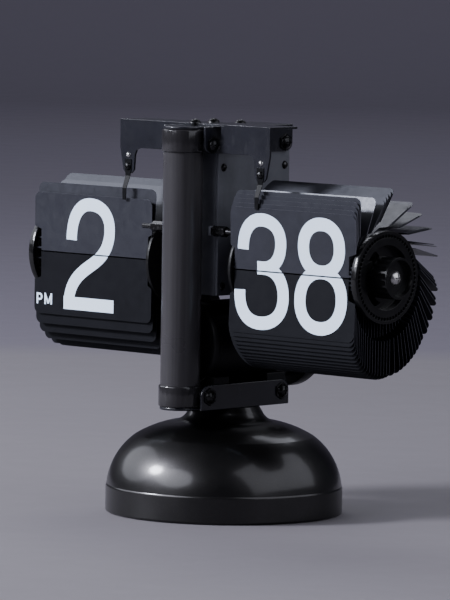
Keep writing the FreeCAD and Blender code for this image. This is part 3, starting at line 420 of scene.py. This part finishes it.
# In mm, as all of the figures are.
PEN = (3.05, 2.72)  # half a stroke's width across the card and along it
MERIDIEM_PEN = (0.45, 0.40)
INK_THICKNESS = 0.018
CREASE_GAP = 0.28  # between a card's cut edge and the crease
CREASE = {"minute": 104.9, "hour": 105.7}  # its height above the floor
CARD_LEFT = {"minute": 22.9, "hour": -92.4}
HOUR_LEFT, TENS_LEFT, UNITS_LEFT, MERIDIEM_LEFT = 17.6, 2.6, 36.2, 1.2  # from the card's left edge
NEXT_DROP = {"hour": 4.4, "minute": 0.0}  # keeps the next figure from showing above this one

STEP = {"minute": 6, "hour": 15}  # degrees from one card to the next
LAST_CARD = {"minute": 59, "hour": 23}
# How far the falling card, the one behind it and the lower card lean from upright, in degrees.
LEANS = {"minute": (-2.1, -1.6, 182.4), "hour": (-0.5, 3.0, 180.0)}
CURVE_STEPS = 14


def bezier(p0, p1, p2, p3):
    """Points along a cubic curve, without its last one."""
    points = []
    for i in range(CURVE_STEPS):
        s = i / CURVE_STEPS
        a, b, c, d = (1 - s) ** 3, 3 * s * (1 - s) ** 2, 3 * s * s * (1 - s), s ** 3
        points.append(tuple(a * p0[k] + b * p1[k] + c * p2[k] + d * p3[k] for k in (0, 1)))
    return points


def path(*stops):
    """A centre line: the first point, then (handle, handle, point) curves or single points."""
    here, points = stops[0], []
    for stop in stops[1:]:
        if isinstance(stop[0], tuple):
            points += bezier(here, *stop)
            here = stop[2]
        else:
            points.append(here)
            here = stop
    return points + [here]


def loop(centre, across, up):
    """A closed oval centre line, a little squarer than an ellipse."""
    points = []
    for i in range(4 * CURVE_STEPS):
        turn = 2 * math.pi * i / (4 * CURVE_STEPS)
        c, s = math.cos(turn), math.sin(turn)
        points.append((centre[0] + across * math.copysign(abs(c) ** 0.92, c),
                       centre[1] + up * math.copysign(abs(s) ** 0.92, s)))
    return points


def pen_outline(points, closed, across, along):
    """The left and right edge of a stroke drawn with an oval pen."""
    count = len(points)
    left, right = [], []
    for i, (x, y) in enumerate(points):
        before = points[(i - 1) % count] if closed or i else points[0]
        after = points[(i + 1) % count] if closed or i < count - 1 else points[-1]
        dx, dy = after[0] - before[0], after[1] - before[1]
        length = math.hypot(dx, dy)
        nx, ny = -dy / length, dx / length
        left.append((x + nx * across, y + ny * along))
        right.append((x - nx * across, y - ny * along))
    return left, right


# Each stroke's centre line from the card's left edge and the crease, and whether it is closed.
FIGURES = {
    "2": [
        (path((4.5, 5.7), ((4.5, 15.4), (8.8, 21.3), (15.5, 21.3)),
              ((22.6, 21.3), (27.1, 17.4), (27.1, 10.9)), ((27.1, 5.4), (24.6, 1.4), (20.6, -1.7)),
              ((14.6, -6.3), (3.6, -9.0), (3.1, -21.3))), False),
        ([(0.05, -21.3), (29.8, -21.3)], False),
    ],
    "3": [
        (path((4.5, 8.6), ((4.5, 16.6), (8.6, 21.3), (14.9, 21.3)),
              ((21.3, 21.3), (25.6, 17.7), (25.6, 12.1)), ((25.6, 5.6), (21.6, 1.4), (15.6, 1.4)),
              (12.3, 1.4)), False),
        (path((12.3, 1.4), (15.6, 1.4), ((23.2, 1.4), (27.4, -3.8), (27.4, -10.6)),
              ((27.4, -17.4), (22.6, -21.4), (15.1, -21.4)),
              ((7.5, -21.4), (2.9, -17.0), (2.9, -8.1))), False),
    ],
    "8": [(loop((14.5, 11.5), 9.9, 9.8), True), (loop((14.5, -9.9), 11.4, 11.5), True)],
    "9": [
        (loop((14.5, 8.7), 11.2, 12.6), True),
        (path((25.7, 8.7), ((26.4, -9.5), (22.4, -21.4), (13.8, -21.4)),
              ((8.2, -21.4), (4.6, -18.6), (3.7, -13.2))), False),
    ],
}
MERIDIEM = [
    ([(0.62, -22.75), (0.62, -17.95)], False),
    (path((0.6, -18.5), (2.2, -18.5), ((3.5, -18.5), (3.5, -20.75), (2.2, -20.75)), (0.6, -20.75)),
     False),
    ([(5.3, -22.75), (5.3, -17.95)], False),
    ([(5.3, -18.3), (7.15, -22.3)], False),
    ([(7.15, -22.3), (9.0, -18.3)], False),
    ([(9.0, -17.95), (9.0, -22.75)], False),
]


def slab(name, left, points, closed, pen):
    """One stroke as a thin slab: x across from the clock's middle, y up from the crease, in mm."""
    mesh = bmesh.new()
    edges = pen_outline(points, closed, *pen)
    rows = [[[mesh.verts.new((left + x, y, height)) for x, y in edge] for edge in edges]
            for height in (0.0, INK_THICKNESS)]
    (low_left, low_right), (top_left, top_right) = rows
    count = len(points)
    for i in range(count if closed else count - 1):
        j = (i + 1) % count
        mesh.faces.new((low_left[i], low_left[j], low_right[j], low_right[i]))
        mesh.faces.new((top_left[i], top_right[i], top_right[j], top_left[j]))
        mesh.faces.new((low_left[i], top_left[i], top_left[j], low_left[j]))
        mesh.faces.new((low_right[i], low_right[j], top_right[j], top_right[i]))
    if not closed:
        for i in (0, count - 1):
            mesh.faces.new((low_left[i], low_right[i], top_right[i], top_left[i]))
    bmesh.ops.recalc_face_normals(mesh, faces=mesh.faces)
    piece = bpy.data.objects.new(name, bpy.data.meshes.new(name))
    mesh.to_mesh(piece.data)
    mesh.free()
    bpy.context.scene.collection.objects.link(piece)
    return piece


def half_figure(name, left, strokes, side, cut, pen):
    """The half of a figure above (side 1) or below (side -1) a cut that far from the crease."""
    slabs = [slab(f"{name}_{i}", left, points, closed, pen)
             for i, (points, closed) in enumerate(strokes)]
    for other in slabs[1:]:
        join = slabs[0].modifiers.new("join", "BOOLEAN")
        join.operation, join.solver, join.object = "UNION", "EXACT", other
    whole = slabs[0].evaluated_get(bpy.context.evaluated_depsgraph_get())
    joined = bpy.data.meshes.new_from_object(whole)
    for piece in slabs:
        bpy.data.objects.remove(piece)
    half = bmesh.new()
    half.from_mesh(joined)
    bmesh.ops.bisect_plane(half, geom=half.verts[:] + half.edges[:] + half.faces[:],
                           plane_co=(0, side * cut, 0), plane_no=(0, -side, 0), clear_outer=True)
    bmesh.ops.holes_fill(half, edges=[edge for edge in half.edges if edge.is_boundary])
    half.to_mesh(joined)
    half.free()
    return joined


class Card:
    """One card's place: its hinge line, which way it reaches, and how its print lies on it."""

    def __init__(self, drum, pivot, lean, lower=False):
        axis = Vector(joints[f"{drum}_drum_turn"]["pos_m"])
        first = Vector(joints[f"{drum}_card_fall"]["pos_m"]) - axis
        back = math.radians(pivot * STEP[drum])
        turned = Matrix.Rotation(-back, 3, "X") @ first
        self.hinge = axis + turned
        lean = math.radians(lean)
        self.reach = Vector((0, math.sin(lean), math.cos(lean)))
        self.out = Vector((0, -math.cos(lean), math.sin(lean)))
        crease = (CREASE[drum] * MM - axis.z) / MM
        root = first.z / MM
        # The crease lies this far below the hinge, along the card, for a print on its front or back.
        self.above, self.below = root - crease, root + crease
        self.tail = (self.below if lower else self.above) - CREASE_GAP

    def lay(self, mesh, side, half_card=0.11, clear=0.004):
        """Moves a print in figure coordinates onto the card's front (side 1) or back (side -1)."""
        offset = self.above if side > 0 else self.below
        across, up, out = Vector((1, 0, 0)), side * self.reach, side * self.out
        origin = self.hinge - self.reach * offset * MM + out * (half_card + clear) * MM
        basis = Matrix((across * MM, up * MM, out * MM)).transposed().to_4x4()
        mesh.transform(Matrix.Translation(origin) @ basis)

    def cut(self, side):
        """How far from the crease a print on that face starts."""
        offset = self.above if side > 0 else self.below
        return offset - self.tail


def print_figure(name, body, drum, card, side, left, strokes, pen=PEN):
    """Prints half a figure on a card's face and rides it on the card's body."""
    mesh = half_figure(name, CARD_LEFT[drum] + left, strokes, side, card.cut(side), pen)
    card.lay(mesh, side)
    mesh.name = name
    mesh.materials.append(ink)
    piece = bpy.data.objects.new(name, mesh)
    bpy.context.scene.collection.objects.link(piece)
    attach(piece, body)


def print_cards():
    """The figures that show now, 2 PM and 38, and the next ones, 3 and 39, behind them."""
    shown = {"hour": (("2", HOUR_LEFT),), "minute": (("3", TENS_LEFT), ("8", UNITS_LEFT))}
    coming = {"hour": (("3", HOUR_LEFT),), "minute": (("3", TENS_LEFT), ("9", UNITS_LEFT))}
    for drum in ("hour", "minute"):
        falling_lean, next_lean, lower_lean = LEANS[drum]
        falling = Card(drum, 0, falling_lean)
        next_up = Card(drum, 1, next_lean)
        lower = Card(drum, LAST_CARD[drum], lower_lean, lower=True)
        body = f"{drum}_card"
        for figure, left in shown[drum]:
            strokes = FIGURES[figure]
            print_figure(f"{drum}_{figure}_upper", body, drum, falling, 1, left, strokes)
            print_figure(f"{drum}_{figure}_lower", "frame", drum, lower, -1, left, strokes)
        for figure, left in coming[drum]:
            strokes = FIGURES[figure]
            lowered = [([(x, y - NEXT_DROP[drum]) for x, y in points], closed)
                       for points, closed in strokes]
            print_figure(f"{drum}_{figure}_next_upper", "frame", drum, next_up, 1, left, lowered)
            print_figure(f"{drum}_{figure}_next_lower", body, drum, falling, -1, left, strokes)
        if drum == "hour":
            print_figure("hour_meridiem", "frame", drum, lower, -1, MERIDIEM_LEFT, MERIDIEM,
                         MERIDIEM_PEN)


# ---------------------------------------------------------------- studio

def outward(turn, lift):
    """The direction at an azimuth, 0 in front and positive to the right, and an elevation."""
    level = math.cos(lift)
    return Vector((math.sin(turn) * level, -math.cos(turn) * level, math.sin(lift)))


def make_camera():
    """A long lens from the front right, a little above the clock and rolled a little."""
    azimuth, elevation, roll = CAMERA_AZIMUTH, math.radians(4.75), math.radians(0.85)
    distance, target = 2.28, Vector((0, 0, 0.085))
    towards = outward(azimuth, elevation)
    right = Vector((math.cos(azimuth), math.sin(azimuth), 0))
    up = towards.cross(right)
    tilted_right = math.cos(roll) * right + math.sin(roll) * up
    tilted_up = math.cos(roll) * up - math.sin(roll) * right
    data = bpy.data.cameras.new("camera")
    data.sensor_width = 36
    data.lens = 325.7
    data.shift_x, data.shift_y = -0.0025, 0.017
    data.clip_end = 20
    camera = bpy.data.objects.new("camera", data)
    camera.matrix_world = Matrix.Translation(target + towards * distance) @ Matrix(
        (tilted_right, tilted_up, towards)).transposed().to_4x4()
    bpy.context.scene.collection.objects.link(camera)
    bpy.context.scene.camera = camera


def soft_box(name, azimuth, elevation, distance, width, height, power, shape="ELLIPSE", aim=CENTRE):
    """An area light on a sphere about the clock, facing it or another place."""
    place = CENTRE + outward(math.radians(azimuth), math.radians(elevation)) * distance
    data = bpy.data.lights.new(name, "AREA")
    data.shape, data.size, data.size_y = shape, width, height
    data.energy, data.color = power, (0.88, 0.90, 1.0)
    light = bpy.data.objects.new(name, data)
    light.matrix_world = Matrix.Translation(place) @ (
        (place - aim).to_track_quat("Z", "Y").to_matrix().to_4x4())
    bpy.context.scene.collection.objects.link(light)


def make_backdrop():
    """A sheet of paper that lies on the floor, bends up and stands behind the clock."""
    half, back, bend, top, steps = 4.0, 3.8, 0.8, 3.2, 12
    rows = [(-half, 0.0), (back, 0.0)]
    for i in range(1, steps + 1):
        turn = math.radians(90 * i / steps)
        rows.append((back + bend * math.sin(turn), bend * (1 - math.cos(turn))))
    rows.append((back + bend, top))
    mesh = bmesh.new()
    across = Vector((AWAY.y, -AWAY.x, 0))
    lines = [[mesh.verts.new(across * side * half + AWAY * out + Vector((0, 0, up)))
              for out, up in rows] for side in (-1, 1)]
    for i in range(len(rows) - 1):
        mesh.faces.new((lines[0][i], lines[1][i], lines[1][i + 1], lines[0][i + 1]))
    data = bpy.data.meshes.new("studio_floor")
    mesh.to_mesh(data)
    mesh.free()
    for face in data.polygons:
        face.use_smooth = True
    data.materials.append(studio_floor())
    floor = bpy.data.objects.new("studio_floor", data)
    bpy.context.scene.collection.objects.link(floor)


def make_lights():
    """The softboxes and a weak even light."""
    world = bpy.data.worlds.new("studio")
    world.use_nodes = True
    world.node_tree.nodes["Background"].inputs["Color"].default_value = (0.72, 0.76, 0.95, 1)
    world.node_tree.nodes["Background"].inputs["Strength"].default_value = 0.05
    bpy.context.scene.world = world
    # azimuth, elevation, distance, width, height, power
    soft_box("key", -39, 30, 1.5, 0.36, 0.30, 44)
    soft_box("wide", -68, 26, 2.0, 2.0, 1.3, 17)
    soft_box("front", -12, 27, 2.2, 1.5, 1.1, 24)
    soft_box("rim", -118, 38, 1.6, 0.8, 0.8, 3)
    soft_box("side", 108, 33, 1.3, 2.0, 1.2, 12, "RECTANGLE")
    soft_box("wash", 223.2, 42.7, 3.5, 3.0, 1.8, 42, "RECTANGLE", AWAY * 2.8)


# ---------------------------------------------------------------- assembly

dress_cad_nodes()
print_cards()
make_camera()
make_backdrop()
make_lights()
